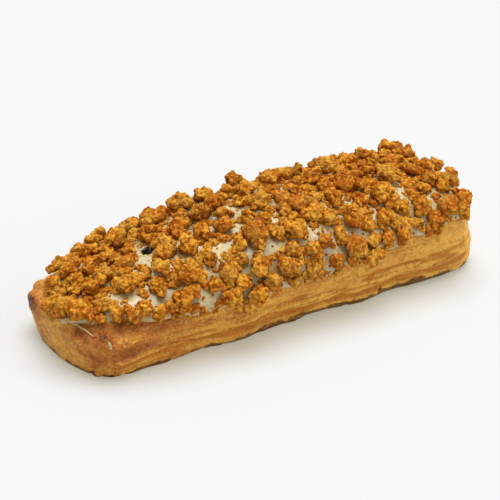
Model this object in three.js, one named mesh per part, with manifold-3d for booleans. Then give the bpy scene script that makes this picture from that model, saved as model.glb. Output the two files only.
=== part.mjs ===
// An eclair in millimetres: a choux log, and over its top the icing with biscuit crumble pressed into it.
// +X runs along the log, -Y is the front and +Z is up. The origin is the middle of the flat underside.
// A place on the log is given by x and by an angle round its axis: 0 is the top, negative the front.
import * as THREE from "three";
import { ConvexGeometry } from "three/addons/geometries/ConvexGeometry.js";
import { mergeVertices } from "three/addons/utils/BufferGeometryUtils.js";
import Module from "manifold-3d";

// ---- Driving dimensions ----

const LOG = {
  length: 140,
  halfWidth: 21.6, // at the height of the axis, where the log is widest
  axisHeight: 12.2,
  rise: 18, // from the axis to the top
  drop: 20, // from the axis to where the round section would end; the underside cuts it off
  squareness: 2.3, // exponent of the section: 2 is an ellipse
};
// Each end tapers over its reach. Towards it the top sags, most at the left, where piping began, and
// the axis and the width change a little. Neither end is square to the log: `skew` is how far it is
// sheared along the log for each millimetre to the back, and `lean` for each millimetre downwards.
const LEFT_END = {
  reach: 13.3,
  squareness: 2.95,
  sag: 15.2,
  sink: 0.7,
  narrowing: 0.6,
  skew: -0.126,
  lean: 0.03,
};
const RIGHT_END = {
  reach: 19.6,
  squareness: 3,
  sag: 3.7,
  sink: -0.5,
  narrowing: -0.8,
  skew: -0.04,
  lean: 0.123,
};
const SHEAR = { from: 30, to: 68 }; // distances from the middle over which an end's shear sets in

// The star nozzle leaves furrows along the sides. Each fades in over `fade`, centred on `from`.
const FURROWS = [
  { angle: 110, depth: 1.1, width: 3.6, from: -60, fade: 7 },
  { angle: 95, depth: 0.7, width: 3.2, from: 5, fade: 30 },
];
// The first dough out of the nozzle folds over itself: upright folds across the left end.
const FOLDS = { pitch: 4.6, depth: 0.3, spread: 11, side: -25 };

const ICING = {
  thickness: 1.9,
  under: 0.4, // how far its lower face clears the gap over the log, so that chords don't cut in
  rim: 5, // width of the rounded edge
  leftMargin: 1.2, // bare crust beyond the icing at each end
  rightMargin: 2.2,
  cornerPull: 3, // how much further the icing's corners stay from the right end
  backPull: 4, // and how much further its back corner stays from the left end than its front one
  lobePitch: 14.5, // spacing of the rounded runs along its lower edge
  lobeDrop: 4, // degrees
};
// How far round the log the icing comes down, in degrees from the top, at places along it.
const ICING_REACH = [
  { x: -70, angle: 64 },
  { x: -55, angle: 69 },
  { x: -40, angle: 77 },
  { x: -14, angle: 81 },
  { x: 25, angle: 75 },
  { x: 70, angle: 65 },
];
const DRIP = { x: -68, angle: -62, run: 2.6, fall: 19, radius: 0.5 };
// The hole that the log was filled through, still open in the icing.
const FILLING_HOLE = { x: -37.5, angle: -1, radius: 1.7, depth: 4.5 };

const GAP = 0.3; // between the icing and the log under it

// Crumble. The largest lumps lie where the eye falls first: [x, angle, size].
const LARGE_LUMPS = [
  [-64, -61, 10.5], [-57, -70, 6.5], [-53, -72, 6], [-57, -22, 8], [-49, -45, 8.5], [-49, -68, 7],
  [-52, -8, 8.5], [-59, 14, 8.5], [-65.5, -36, 7.5], [-66, -8, 7.5], [-65.5, 22, 7.5], [-64, 45, 8],
  [-57, 48, 8], [-57, 63, 8], [-49, 50, 8], [-44.5, -10, 7], [-41.5, -52, 7.5], [-42, 38, 10.5],
  [-37, -68, 9.5], [-34, -21, 8.5], [-32, -52, 8.5], [-32.5, -7, 8], [-35, 53, 10], [-28, 46, 10],
  [-25, 12, 8.5], [-24, -44, 6.5], [-22, -74, 8], [-21, -57, 7.5], [-17, -66, 6.5], [-14, -77, 9],
  [-15, -50, 6.5], [-18, 46, 11], [-12, -34, 6.5], [-11, 18, 8.5], [-11, -59, 8.5], [-8, -35, 11],
  [-3, -25, 6.5], [-2, -39, 7], [-2, -64, 9], [-1, -6, 8], [1, 40, 9.5], [1, -54, 7], [5, 10, 6.5],
  [7, -8, 8], [7, -57, 6.5], [10, -21, 9], [13, -34, 8], [12, -54, 6.5], [17, 42, 9], [13, 7, 6.5],
  [16, -15, 7.5], [16, -40, 7], [22, -4, 6.5], [24, -46, 10], [21.5, -65, 10], [23, 18, 8], [29, 26, 9],
  [27, -75.5, 7.5], [29.5, -9, 10.5], [34, -51, 7], [37, -33, 9.5], [38, 8, 8], [40, 41, 9],
  [45, -9, 10.5], [39, -64, 7], [48, -53, 8.5], [47.5, 38, 10], [50, 16, 9.5], [56, -3, 8],
  [58, -27, 8.5], [61, 33, 8.5], [57, -58, 10], [60, -41, 7], [65, -29, 8], [65.5, 10, 8.5],
  [64, -56, 9], [-45, -72, 6.5], [-33, -64, 6.5], [14, -70, 7], [18, -57, 6.5], [33, -66, 6.5],
  [41, -47, 6.5], [52, -64, 6.5], [62, -66, 6.5], [53, -38, 6.5], [6, -72.5, 6.5], [-6, 71, 6.5],
];
// Patches of icing that stay bare: [x, angle, half length, half width].
const BARE_PATCHES = [
  [-55, -50, 3.8, 2], [-50, -58, 3, 1.8], [-43, -62, 2.6, 2], [-40, -18, 1.6, 4.4], [-38, -3, 2.6, 2.6],
  [-29, -70, 2.2, 2.4], [-51, -20, 2, 1.6], [-17, -34, 4, 1.2], [-7, -47, 6, 1.8], [-8, -4, 1.6, 2.2],
  [12, -66, 2, 1.2], [22, -56, 2.2, 1], [33, -28, 1.6, 1.8], [45, -30, 2.4, 1.4], [53, -49, 1.2, 2.2],
  [64, -38, 1.6, 1.2], [43, -72, 3.6, 1.2],
];
// The rest is strewn by a seeded rule, the larger sizes first.
const STREWN = [
  { least: 6.6, most: 8.4, tries: 1500, points: 8, spacing: 0.93 },
  { least: 5, most: 6.4, tries: 1600, points: 7, spacing: 0.88 },
];
const STREW_SEED = 41;
const RIDER = { share: 0.05, least: 4.4, most: 6, points: 7 }; // lumps that lie on other lumps
const LUMP_SHAPE = { length: 1.22, width: 1.04, height: 0.86, rough: 0.24 };
const LARGE_POINTS = 11;
const SHOULDER_FROM = 7.5; // lumps of this size have a smaller one fused to their flank
const STRAY = { left: -63, right: 62 }; // how far towards each end crumble is strewn

const DEGREES = Math.PI / 180;
const clamp = THREE.MathUtils.clamp;
const smoothstep = THREE.MathUtils.smoothstep;

// ---- The log's surface ----

// The log's section at x. Beyond the start of an end's taper, `into` runs to 1 at the tip and `share`
// is what is left of the full section.
function section(x) {
  const end = x < 0 ? LEFT_END : RIGHT_END;
  const into = clamp((Math.abs(x) - LOG.length / 2 + end.reach) / end.reach, 0, 1);
  const share = Math.pow(1 - Math.pow(into, end.squareness), 1 / end.squareness);
  const along = Math.abs(x) / (LOG.length / 2);
  return {
    end,
    into,
    share,
    rise: LOG.rise - end.sag * along * along,
    slope: (-2 * end.sag * along * Math.sign(x)) / (LOG.length / 2),
    halfWidth: LOG.halfWidth - end.narrowing * Math.pow(along, 3),
    axisHeight: LOG.axisHeight - end.sink * Math.pow(along, 3),
  };
}

function furrowDepth(x, angle) {
  const round = Math.abs(angle) / DEGREES;
  let depth = 0;
  for (const furrow of FURROWS) {
    const strength = smoothstep(x, furrow.from - furrow.fade, furrow.from + furrow.fade);
    const off = (round - furrow.angle - 1.2 * Math.sin(x / 13)) / furrow.width;
    depth += furrow.depth * strength * Math.exp(-off * off);
  }
  return depth;
}

function foldHeight(x, angle) {
  const fromTip = LOG.length / 2 + x + 3.5 * Math.cos(angle - FOLDS.side * DEGREES);
  const fade = Math.exp(-Math.pow(fromTip / FOLDS.spread, 2));
  return FOLDS.depth * fade * Math.sin((2 * Math.PI * fromTip) / FOLDS.pitch);
}

// Height of the crust's relief over the plain rounded log.
function relief(x, angle, share) {
  const swell =
    0.55 * Math.sin(x / 14 + 0.8) * Math.cos(angle) +
    0.45 * Math.sin(x / 6.2 + 2 * angle + 1.9) +
    0.3 * Math.sin(x / 3.4 - 3 * angle + 0.6);
  const round = Math.abs(angle);
  const belowIcing = smoothstep(round, 50 * DEGREES, 75 * DEGREES);
  const low = belowIcing * (1 - smoothstep(round, 95 * DEGREES, 125 * DEGREES));
  const detail = swell - furrowDepth(x, angle) + low * foldHeight(x, angle);
  return detail * smoothstep(share, 0.1, 0.75);
}

// Moves a point along the log by its end's shear.
function shearEnd(point, end) {
  const strength = smoothstep(Math.abs(point.x), SHEAR.from, SHEAR.to);
  point.x += strength * (end.skew * point.y + end.lean * (LOG.axisHeight - point.z));
}

// The point at x and angle, `lift` above the crust, and the direction that points out of it there.
function skin(x, angle, lift = 0) {
  const { end, into, share, rise, slope, halfWidth, axisHeight } = section(x);
  const power = LOG.squareness;
  const top = Math.cos(angle) > 0;
  const half = top ? rise : LOG.drop;
  const across = Math.abs(Math.sin(angle)) / halfWidth;
  const upward = Math.abs(Math.cos(angle)) / half;
  const radius = Math.pow(Math.pow(across, power) + Math.pow(upward, power), -1 / power);
  const y = radius * share * Math.sin(angle);
  const z = radius * share * Math.cos(angle);
  // Gradient of the surface's equation, share(x) = how far out (y, z) lies in the full section.
  const q = end.squareness;
  const pull = Math.pow(Math.max(share, 1e-6), q - power);
  const leaning = top ? (-slope * pull * Math.pow(z / half, power)) / half : 0;
  const outward = new THREE.Vector3(
    (Math.sign(x) * Math.pow(into, q - 1)) / end.reach + leaning,
    (pull * Math.sign(y) * Math.pow(Math.abs(y) / halfWidth, power - 1)) / halfWidth,
    (pull * Math.sign(z) * Math.pow(Math.abs(z) / half, power - 1)) / half,
  ).normalize();
  const point = new THREE.Vector3(x, y, axisHeight + z);
  point.addScaledVector(outward, relief(x, angle, share) + lift);
  shearEnd(point, end);
  return { point, outward };
}

// ---- Meshes and solids ----

const wasm = await Module();
wasm.setup();

function geometryFrom(points, triangles) {
  const geometry = new THREE.BufferGeometry().setFromPoints(points);
  geometry.setIndex(triangles);
  return geometry;
}

function solidFrom(geometry) {
  const bare = geometry.clone();
  bare.deleteAttribute("normal");
  bare.deleteAttribute("uv");
  const merged = mergeVertices(bare, 1e-4);
  const mesh = new wasm.Mesh({
    numProp: 3,
    vertProperties: new Float32Array(merged.attributes.position.array),
    triVerts: new Uint32Array(merged.index.array),
  });
  return new wasm.Manifold(mesh);
}

function meshFrom(name, solid, material) {
  const { vertProperties, triVerts } = solid.getMesh();
  const geometry = new THREE.BufferGeometry();
  geometry.setAttribute("position", new THREE.BufferAttribute(vertProperties, 3));
  geometry.setIndex(new THREE.BufferAttribute(triVerts, 1));
  geometry.computeVertexNormals();
  const mesh = new THREE.Mesh(geometry, material);
  mesh.name = name;
  return mesh;
}

// Places along the log, closer together round the ends, without the two tips.
function stations() {
  const leftSteps = 10;
  const rightSteps = 8;
  const middleSteps = 20;
  const first = -LOG.length / 2 + LEFT_END.reach;
  const last = LOG.length / 2 - RIGHT_END.reach;
  const into = (i, steps, end) => Math.pow(Math.sin((i / steps) * (Math.PI / 2)), 2 / end.squareness);
  const places = [];
  for (let i = leftSteps - 1; i > 0; i--) places.push(first - LEFT_END.reach * into(i, leftSteps, LEFT_END));
  for (let i = 0; i <= middleSteps; i++) places.push(first + ((last - first) * i) / middleSteps);
  for (let i = 1; i < rightSteps; i++) places.push(last + RIGHT_END.reach * into(i, rightSteps, RIGHT_END));
  return places;
}

// Angles round the log, close together on the bare sides and further apart under the icing.
function sectionAngles() {
  const side = [18, 36, 52, 64, 73, 80, 86, 91, 95, 99, 103, 106.5, 110, 113.5, 117, 122, 128, 150];
  const back = side.map((angle) => angle * DEGREES);
  const front = side.map((angle) => -angle * DEGREES).reverse();
  return [...front, 0, ...back, 180 * DEGREES];
}

// The whole round log, lifted off its surface, closed at both tips.
function logGeometry(lift) {
  const places = stations();
  const angles = sectionAngles();
  const round = angles.length;
  const points = places.flatMap((x) => angles.map((angle) => skin(x, angle, lift).point));
  const leftTip = points.length;
  points.push(skin(-LOG.length / 2, 90 * DEGREES, lift).point);
  points.push(skin(LOG.length / 2, 90 * DEGREES, lift).point);
  const rightTip = leftTip + 1;
  const triangles = [];
  for (let j = 0; j < round; j++) {
    const next = (j + 1) % round;
    triangles.push(leftTip, j, next);
    const base = (places.length - 1) * round;
    triangles.push(rightTip, base + next, base + j);
    for (let i = 0; i + 1 < places.length; i++) {
      const here = i * round;
      const ahead = here + round;
      triangles.push(here + j, ahead + j, ahead + next, here + j, ahead + next, here + next);
    }
  }
  return geometryFrom(points, triangles);
}

// ---- Icing ----

// How far round from the top the icing's lower edge lies, with its rounded runs.
function icingEdge(x, side) {
  let i = 1;
  while (i < ICING_REACH.length - 1 && x > ICING_REACH[i].x) i++;
  const [from, to] = [ICING_REACH[i - 1], ICING_REACH[i]];
  const reach = THREE.MathUtils.mapLinear(x, from.x, to.x, from.angle, to.angle);
  const phase = (Math.PI * x) / ICING.lobePitch + 0.9 * Math.sin(x / 19 + side) + side;
  return (reach + ICING.lobeDrop * Math.pow(Math.abs(Math.sin(phase)), 0.8)) * DEGREES;
}

// The icing as a bent slab, from end to end and from its front edge over to its back edge.
function icingGeometry() {
  const acrossSteps = 10;
  const rows = icingPlaces();
  const top = [];
  const bottom = [];
  for (const x of rows) {
    for (let j = 0; j <= acrossSteps; j++) {
      const q = (2 * j) / acrossSteps - 1;
      const angle = 0.5 * (q + Math.sin((q * Math.PI) / 2)) * icingEdge(x, Math.sign(q));
      const fromRight = ICING.cornerPull * Math.pow(Math.abs(q), 5) * smoothstep(x, 30, 70);
      const fromLeft = ICING.backPull * (0.5 + 0.5 * q) * smoothstep(-x, 35, 70);
      const place = x - fromRight + fromLeft;
      top.push(skin(place, angle, GAP + icingThickness(x, q)).point);
      bottom.push(skin(place, angle, GAP + ICING.under).point);
    }
  }
  return geometryFrom([...top, ...bottom], slabTriangles(rows.length, acrossSteps + 1));
}

// Places along the log where the icing is shaped, closer together where it bends over the ends.
function icingPlaces() {
  const endSteps = 6;
  const middleSteps = 18;
  const first = -LOG.length / 2 + LEFT_END.reach;
  const last = LOG.length / 2 - RIGHT_END.reach;
  const turn = (i) => Math.pow(Math.sin((i / endSteps) * (Math.PI / 2)), 0.9);
  const places = [];
  for (let i = endSteps; i > 0; i--) places.push(first - (LEFT_END.reach - ICING.leftMargin) * turn(i));
  for (let i = 0; i <= middleSteps; i++) places.push(first + ((last - first) * i) / middleSteps);
  for (let i = 1; i <= endSteps; i++) places.push(last + (RIGHT_END.reach - ICING.rightMargin) * turn(i));
  return places;
}

// Its thickness falls off in a rounded rim. q runs from -1 at the front edge to 1 at the back edge.
function icingThickness(x, q) {
  const toLeft = x + LOG.length / 2 - ICING.leftMargin;
  const toRight = LOG.length / 2 - ICING.rightMargin - x;
  const toSide = (1 - Math.abs(q)) * LOG.halfWidth * 1.4;
  const inside = clamp(Math.min(toLeft * 2, toRight * 2, toSide) / ICING.rim, 0, 1);
  return ICING.thickness * (0.45 + 0.55 * Math.sqrt(1 - Math.pow(1 - inside, 2)));
}

function slabTriangles(rows, columns) {
  const triangles = [];
  const under = rows * columns;
  const quad = (a, b, c, d) => triangles.push(a, b, c, a, c, d);
  for (let i = 0; i + 1 < rows; i++) {
    for (let j = 0; j + 1 < columns; j++) {
      const a = i * columns + j;
      const b = a + columns;
      quad(a, b, b + 1, a + 1);
      quad(under + a, under + a + 1, under + b + 1, under + b);
    }
    const [front, back] = [i * columns, (i + 1) * columns - 1];
    quad(front + under, front + under + columns, front + columns, front);
    quad(back, back + columns, back + under + columns, back + under);
  }
  for (let j = 0; j + 1 < columns; j++) {
    const far = (rows - 1) * columns + j;
    quad(j, j + 1, j + 1 + under, j + under);
    quad(far + under, far + 1 + under, far + 1, far);
  }
  return triangles;
}

// A thin run of icing that strayed down the crust at the left end.
function dripGeometry() {
  const steps = 7;
  const points = [];
  for (let i = 0; i <= steps; i++) {
    const t = i / steps;
    const angle = (DRIP.angle - DRIP.fall * Math.pow(t, 1.6)) * DEGREES;
    points.push(skin(DRIP.x + DRIP.run * t, angle, GAP + DRIP.radius * 0.6).point);
  }
  const section = new THREE.Shape().absarc(0, 0, DRIP.radius, 0, 2 * Math.PI);
  const route = new THREE.CatmullRomCurve3(points);
  const options = { steps, curveSegments: 3, extrudePath: route, bevelEnabled: false };
  return new THREE.ExtrudeGeometry(section, options);
}

// ---- Crumble ----

function randomSource(seed) {
  let state = seed;
  return () => {
    state = (Math.imul(state, 1664525) + 1013904223) >>> 0;
    return state / 4294967296;
  };
}

function isBare(x, angle, size) {
  const margin = 0.3 * size;
  return BARE_PATCHES.some(([px, pangle, halfLength, halfWidth]) => {
    const along = (x - px) / (halfLength + margin);
    const around = ((angle - pangle) * DEGREES * LOG.halfWidth) / (halfWidth + margin);
    return along * along + around * around < 1;
  });
}

// Height of a lump's middle over the log: it is pressed into the icing, but not through it.
function lumpLift(size) {
  const half = (size / 2) * LUMP_SHAPE.height;
  return GAP + Math.max(ICING.under + 0.1 + half, ICING.thickness + 0.1 * size);
}

// Every lump's place and size: the large ones, then what is strewn between them, then the riders.
function crumbleLayout() {
  const random = randomSource(STREW_SEED);
  const lumps = [];
  const lay = (x, angle, size, points) => {
    const { point, outward } = skin(x, angle * DEGREES, lumpLift(size));
    lumps.push({ centre: point, outward, size, points });
  };
  for (const [x, angle, size] of LARGE_LUMPS) {
    const first = lumps.length;
    lay(x, angle, size * 0.8, LARGE_POINTS);
    if (size >= SHOULDER_FROM) addShoulder(lumps, lumps[first], random);
  }
  for (const { least, most, tries, points, spacing } of STREWN) {
    for (let i = 0; i < tries; i++) {
      const x = STRAY.left + (STRAY.right - STRAY.left) * random();
      const side = random() < 0.5 ? -1 : 1;
      const angle = side * random() * (icingEdge(x, side) / DEGREES - 5);
      const size = least + (most - least) * random();
      if (isBare(x, angle, size)) continue;
      const place = skin(x, angle * DEGREES, lumpLift(size)).point;
      const clash = lumps.some((l) => l.centre.distanceTo(place) < (spacing * (l.size + size)) / 2);
      if (!clash) lay(x, angle, size, points);
    }
  }
  for (const host of [...lumps]) {
    if (host.size > 5.4 && random() < RIDER.share) addRider(lumps, host, random);
  }
  return lumps;
}

// A smaller lump fused to a large one's flank, so that it isn't a plain ball.
function addShoulder(lumps, host, random) {
  const sideways = tangent(host.outward, random() * 2 * Math.PI);
  const centre = host.centre.clone().addScaledVector(sideways, host.size * 0.5);
  centre.addScaledVector(host.outward, host.size * (0.1 * random() - 0.12));
  const size = host.size * (0.5 + 0.2 * random());
  lumps.push({ centre, outward: host.outward, size, points: RIDER.points });
}

function addRider(lumps, host, random) {
  const size = RIDER.least + (RIDER.most - RIDER.least) * random();
  const centre = host.centre.clone().addScaledVector(host.outward, host.size * 0.3);
  centre.addScaledVector(tangent(host.outward, random() * 2 * Math.PI), host.size * 0.25);
  lumps.push({ centre, outward: host.outward, size, points: RIDER.points });
}

// A direction along the surface, turned about the outward one.
function tangent(outward, turn) {
  const along = new THREE.Vector3(1, 0, 0);
  along.addScaledVector(outward, -along.dot(outward)).normalize();
  const across = new THREE.Vector3().crossVectors(outward, along);
  return along.multiplyScalar(Math.cos(turn)).addScaledVector(across, Math.sin(turn));
}

// One broken piece of biscuit: the hull of uneven points round an oval.
function lumpGeometry({ centre, outward, size, points }, random) {
  const turn = random() * 2 * Math.PI;
  const lengthwise = tangent(outward, turn);
  const sideways = tangent(outward, turn + Math.PI / 2);
  const golden = Math.PI * (3 - Math.sqrt(5));
  const corners = [];
  for (let i = 0; i < points; i++) {
    const height = 1 - (2 * (i + 0.5)) / points;
    const ring = Math.sqrt(1 - height * height);
    const reach = (size / 2) * (1 - LUMP_SHAPE.rough / 2 + LUMP_SHAPE.rough * random());
    const corner = centre.clone();
    corner.addScaledVector(lengthwise, reach * LUMP_SHAPE.length * ring * Math.cos(i * golden));
    corner.addScaledVector(sideways, reach * LUMP_SHAPE.width * ring * Math.sin(i * golden));
    corner.addScaledVector(outward, reach * LUMP_SHAPE.height * height);
    corners.push(corner);
  }
  return new ConvexGeometry(corners);
}

// ---- The two parts ----

function fillingHole() {
  const { point, outward } = skin(FILLING_HOLE.x, FILLING_HOLE.angle * DEGREES);
  const above = 12;
  const length = FILLING_HOLE.depth + above;
  const geometry = new THREE.CylinderGeometry(FILLING_HOLE.radius, FILLING_HOLE.radius * 0.8, length, 8);
  geometry.translate(0, above - length / 2, 0);
  geometry.applyQuaternion(new THREE.Quaternion().setFromUnitVectors(new THREE.Vector3(0, 1, 0), outward));
  geometry.translate(point.x, point.y, point.z);
  return solidFrom(geometry);
}

function floorBlock() {
  const depth = 60;
  const block = new THREE.BoxGeometry(LOG.length * 2, LOG.halfWidth * 4, depth);
  return solidFrom(block.translate(0, 0, -depth / 2));
}

// The body that everything else holds on to, without stray bits that touch nothing.
function largestBody(solid) {
  return solid.decompose().reduce((best, body) => (body.volume() > best.volume() ? body : best));
}

function shellMesh() {
  const solid = solidFrom(logGeometry(0)).subtract(floorBlock()).subtract(fillingHole());
  const crust = new THREE.MeshStandardMaterial({ color: 0xb9782f, roughness: 0.7, metalness: 0 });
  return meshFrom("choux_shell", solid, crust);
}

function toppingMesh() {
  const random = randomSource(STREW_SEED + 1);
  const lumps = crumbleLayout().map((lump) => solidFrom(lumpGeometry(lump, random)));
  const topping = wasm.Manifold.union([solidFrom(icingGeometry()), solidFrom(dripGeometry()), ...lumps]);
  const solid = largestBody(topping.subtract(solidFrom(logGeometry(GAP))).subtract(fillingHole()));
  const crumble = new THREE.MeshStandardMaterial({ color: 0xc07a2a, roughness: 0.85, metalness: 0 });
  return meshFrom("icing_crumble", solid, crumble);
}

const eclair = new THREE.Group();
eclair.add(shellMesh(), toppingMesh());

export default eclair;
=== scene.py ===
# %% [markdown]
# # An eclair with icing and biscuit crumble
#
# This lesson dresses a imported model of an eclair. The model gives the form and the size: a choux log,
# and over its top one solid for the icing and its crumble. Here both get their skin: the baked crust
# with its furrows, the soft rim of the icing, and some hundreds of broken biscuit lumps.
# Lengths in the helpers are in millimetres, as a baker would measure them. They turn into metres at
# the moment when a mesh is made.

import math

import bmesh
import bpy
import numpy as np
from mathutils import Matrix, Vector, noise
from mathutils.bvhtree import BVHTree


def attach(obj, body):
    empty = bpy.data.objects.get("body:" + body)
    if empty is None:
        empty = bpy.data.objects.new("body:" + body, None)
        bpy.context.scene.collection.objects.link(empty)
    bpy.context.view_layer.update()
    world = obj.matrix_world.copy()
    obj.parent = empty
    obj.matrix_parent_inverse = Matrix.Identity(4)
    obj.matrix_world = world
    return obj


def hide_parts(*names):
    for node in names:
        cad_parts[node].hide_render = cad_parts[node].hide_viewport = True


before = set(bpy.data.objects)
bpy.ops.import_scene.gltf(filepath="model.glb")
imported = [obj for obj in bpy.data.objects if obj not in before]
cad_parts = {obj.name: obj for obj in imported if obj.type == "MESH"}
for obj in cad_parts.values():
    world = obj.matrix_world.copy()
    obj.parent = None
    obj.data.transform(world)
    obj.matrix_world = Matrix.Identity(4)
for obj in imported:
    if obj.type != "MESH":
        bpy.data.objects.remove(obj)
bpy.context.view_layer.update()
MM = 0.001

# %% [markdown]
# ## The log as a formula
#
# A choux log is piped in one stroke, so its section hardly changes along it, and only the ends round
# off. That makes a formula a better start than sculpting: a place on the log is a distance x along it
# and an angle round it, 0 at the top and negative at the front. The model's solids come from the same
# formula, so what is made here lies exactly on them.

# %% The log's sizes
LENGTH = 140.0
HALF_WIDTH = 21.6
AXIS_HEIGHT = 12.2
RISE = 18.0
DROP = 20.0
SQUARENESS = 2.3
LEFT_END = {
    "reach": 13.3,
    "squareness": 2.95,
    "sag": 15.2,
    "sink": 0.7,
    "narrowing": 0.6,
    "skew": -0.126,
    "lean": 0.03,
}
RIGHT_END = {
    "reach": 19.6,
    "squareness": 3.0,
    "sag": 3.7,
    "sink": -0.5,
    "narrowing": -0.8,
    "skew": -0.04,
    "lean": 0.123,
}
SHEAR = {"from": 30, "to": 68}
FURROWS = [
    {"angle": 110, "depth": 1.1, "width": 3.6, "from": -60, "fade": 7},
    {"angle": 95, "depth": 0.7, "width": 3.2, "from": 5, "fade": 30},
]
FOLDS = {"pitch": 4.6, "depth": 0.3, "spread": 11.0, "side": -25}
print("log", LENGTH, "mm long and about", 2 * HALF_WIDTH, "mm wide")


# %% Helpers for the formula
def smoothstep(value, low, high):
    t = np.clip((value - low) / (high - low), 0, 1)
    return t * t * (3 - 2 * t)


def by_end(x, key):
    return np.where(x < 0, LEFT_END[key], RIGHT_END[key])


# %% The log's surface
def furrow_depth(x, angle):
    depth = np.zeros_like(x)
    for furrow in FURROWS:
        strength = smoothstep(x, furrow["from"] - furrow["fade"], furrow["from"] + furrow["fade"])
        off = (np.degrees(np.abs(angle)) - furrow["angle"] - 1.2 * np.sin(x / 13)) / furrow["width"]
        depth += furrow["depth"] * strength * np.exp(-off * off)
    return depth


def fold_height(x, angle):
    from_tip = LENGTH / 2 + x + 3.5 * np.cos(angle - math.radians(FOLDS["side"]))
    fade = np.exp(-((from_tip / FOLDS["spread"]) ** 2))
    return FOLDS["depth"] * fade * np.sin(2 * math.pi * from_tip / FOLDS["pitch"])


def relief(x, angle, share):
    swell = (
        0.55 * np.sin(x / 14 + 0.8) * np.cos(angle)
        + 0.45 * np.sin(x / 6.2 + 2 * angle + 1.9)
        + 0.3 * np.sin(x / 3.4 - 3 * angle + 0.6)
    )
    low = smoothstep(np.abs(angle), math.radians(50), math.radians(75))
    low = low * smoothstep(np.abs(angle), math.radians(125), math.radians(95))
    detail = swell - furrow_depth(x, angle) + low * fold_height(x, angle)
    return detail * smoothstep(share, 0.1, 0.75)


# %% Points on the log's skin
def skin(x, angle, lift=0.0):
    """Points on the log, lifted off it, and the directions that point out of it there."""
    x, angle = np.broadcast_arrays(np.asarray(x, float), np.asarray(angle, float))
    reach, q = by_end(x, "reach"), by_end(x, "squareness")
    into = np.clip((np.abs(x) - LENGTH / 2 + reach) / reach, 0, 1)
    share = (1 - into**q) ** (1 / q)
    along = np.abs(x) / (LENGTH / 2)
    rise = RISE - by_end(x, "sag") * along**2
    slope = -2 * by_end(x, "sag") * along * np.sign(x) / (LENGTH / 2)
    wide = HALF_WIDTH - by_end(x, "narrowing") * along**3
    top = np.cos(angle) > 0
    half = np.where(top, rise, DROP)
    power = SQUARENESS
    sideways, upright = np.abs(np.sin(angle)) / wide, np.abs(np.cos(angle)) / half
    radius = (sideways**power + upright**power) ** (-1 / power)
    y = radius * share * np.sin(angle)
    z = radius * share * np.cos(angle)
    pull = np.maximum(share, 1e-6) ** (q - power)
    leaning = np.where(top, -slope * pull * (np.abs(z) / half) ** power / half, 0)
    out = np.stack(
        [
            np.sign(x) * into ** (q - 1) / reach + leaning,
            pull * np.sign(y) * (np.abs(y) / wide) ** (power - 1) / wide,
            pull * np.sign(z) * (np.abs(z) / half) ** (power - 1) / half,
        ],
        -1,
    )
    out /= np.linalg.norm(out, axis=-1, keepdims=True)
    point = np.stack([x, y, AXIS_HEIGHT - by_end(x, "sink") * along**3 + z], -1)
    point = point + out * (relief(x, angle, share) + lift)[..., None]
    strength = smoothstep(np.abs(point[..., 0]), SHEAR["from"], SHEAR["to"])
    slant = by_end(x, "skew") * point[..., 1] + by_end(x, "lean") * (AXIS_HEIGHT - point[..., 2])
    point[..., 0] += strength * slant
    return point, out


print("top of the log", skin(0.0, 0.0)[0].round(2))

# %% [markdown]
# ## Making a mesh from a grid of points
#
# Crust and icing are both sheets of points in rows and columns. A small helper joins neighbours with
# faces, and stores numbers such as the depth of a groove on every point, where materials can read them.

# %% Mesh helpers
def mesh_piece(name, points, faces, masks=None):
    mesh = bpy.data.meshes.new(name)
    mesh.from_pydata((np.asarray(points) * MM).tolist(), [], [[int(k) for k in face] for face in faces])
    for mask, values in (masks or {}).items():
        mesh.attributes.new(mask, "FLOAT", "POINT").data.foreach_set("value", np.asarray(values, np.float32))
    mesh.shade_smooth()
    piece = bpy.data.objects.new(name, mesh)
    bpy.context.scene.collection.objects.link(piece)
    print(name, "points", len(mesh.vertices), "triangles", sum(len(p.vertices) - 2 for p in mesh.polygons))
    return piece


def grid_faces(rows, columns, wrap=False):
    i, j = np.meshgrid(np.arange(rows - 1), np.arange(columns if wrap else columns - 1), indexing="ij")
    here, beside = i * columns + j, i * columns + (j + 1) % columns
    return np.stack([here, here + columns, beside + columns, beside], -1).reshape(-1, 4)


# %% Noise and grains
def noise_at(points, size, seed=0.0):
    """Smooth noise from -1 to 1 whose bumps are about `size` millimetres across."""
    return np.array([noise.noise(Vector(p)) for p in (points / size + seed)])


def cells_at(points, size, seed=0.0, blocky=False):
    """Grains of about `size` millimetres, round or blocky: 0 in their creases, 1 on their tops.

    The second result is a number from 0 to 1 that is the same all over one grain.
    """
    metric = "CHEBYCHEV" if blocky else "DISTANCE"
    found = [noise.voronoi(Vector(p), distance_metric=metric) for p in (points / size + seed)]
    nearest = np.array([distances[0] for distances, _ in found])
    seeds = np.array([list(places[0]) for _, places in found])
    lot = np.sin(seeds @ np.array([12.9898, 78.233, 37.719])) * 43758.5453
    return 1 - np.clip(nearest / (0.7 if blocky else 0.85), 0, 1) ** 2, lot - np.floor(lot)


# %% [markdown]
# ## The crust
#
# Choux dries from outside in, so its skin sets while the inside still swells. The star nozzle's furrows
# stay along the sides, fine wrinkles run lengthwise and turn across the left end, where the dough first
# came out, and blisters burst in patches. All of this is real relief here, on a fine grid that is
# closest on the sides, where the crust is bare.

# %% Grid of the crust
def end_places(steps, end):
    turn = np.arange(1, steps + 1) / (steps + 0.6) * (math.pi / 2)
    return end["reach"] * np.sin(turn) ** (2 / end["squareness"])


def crust_places(left_steps, middle_steps, right_steps):
    first = -LENGTH / 2 + LEFT_END["reach"]
    last = LENGTH / 2 - RIGHT_END["reach"]
    return np.concatenate(
        [
            first - end_places(left_steps, LEFT_END)[::-1],
            np.linspace(first, last, middle_steps),
            last + end_places(right_steps, RIGHT_END),
        ]
    )


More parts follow.
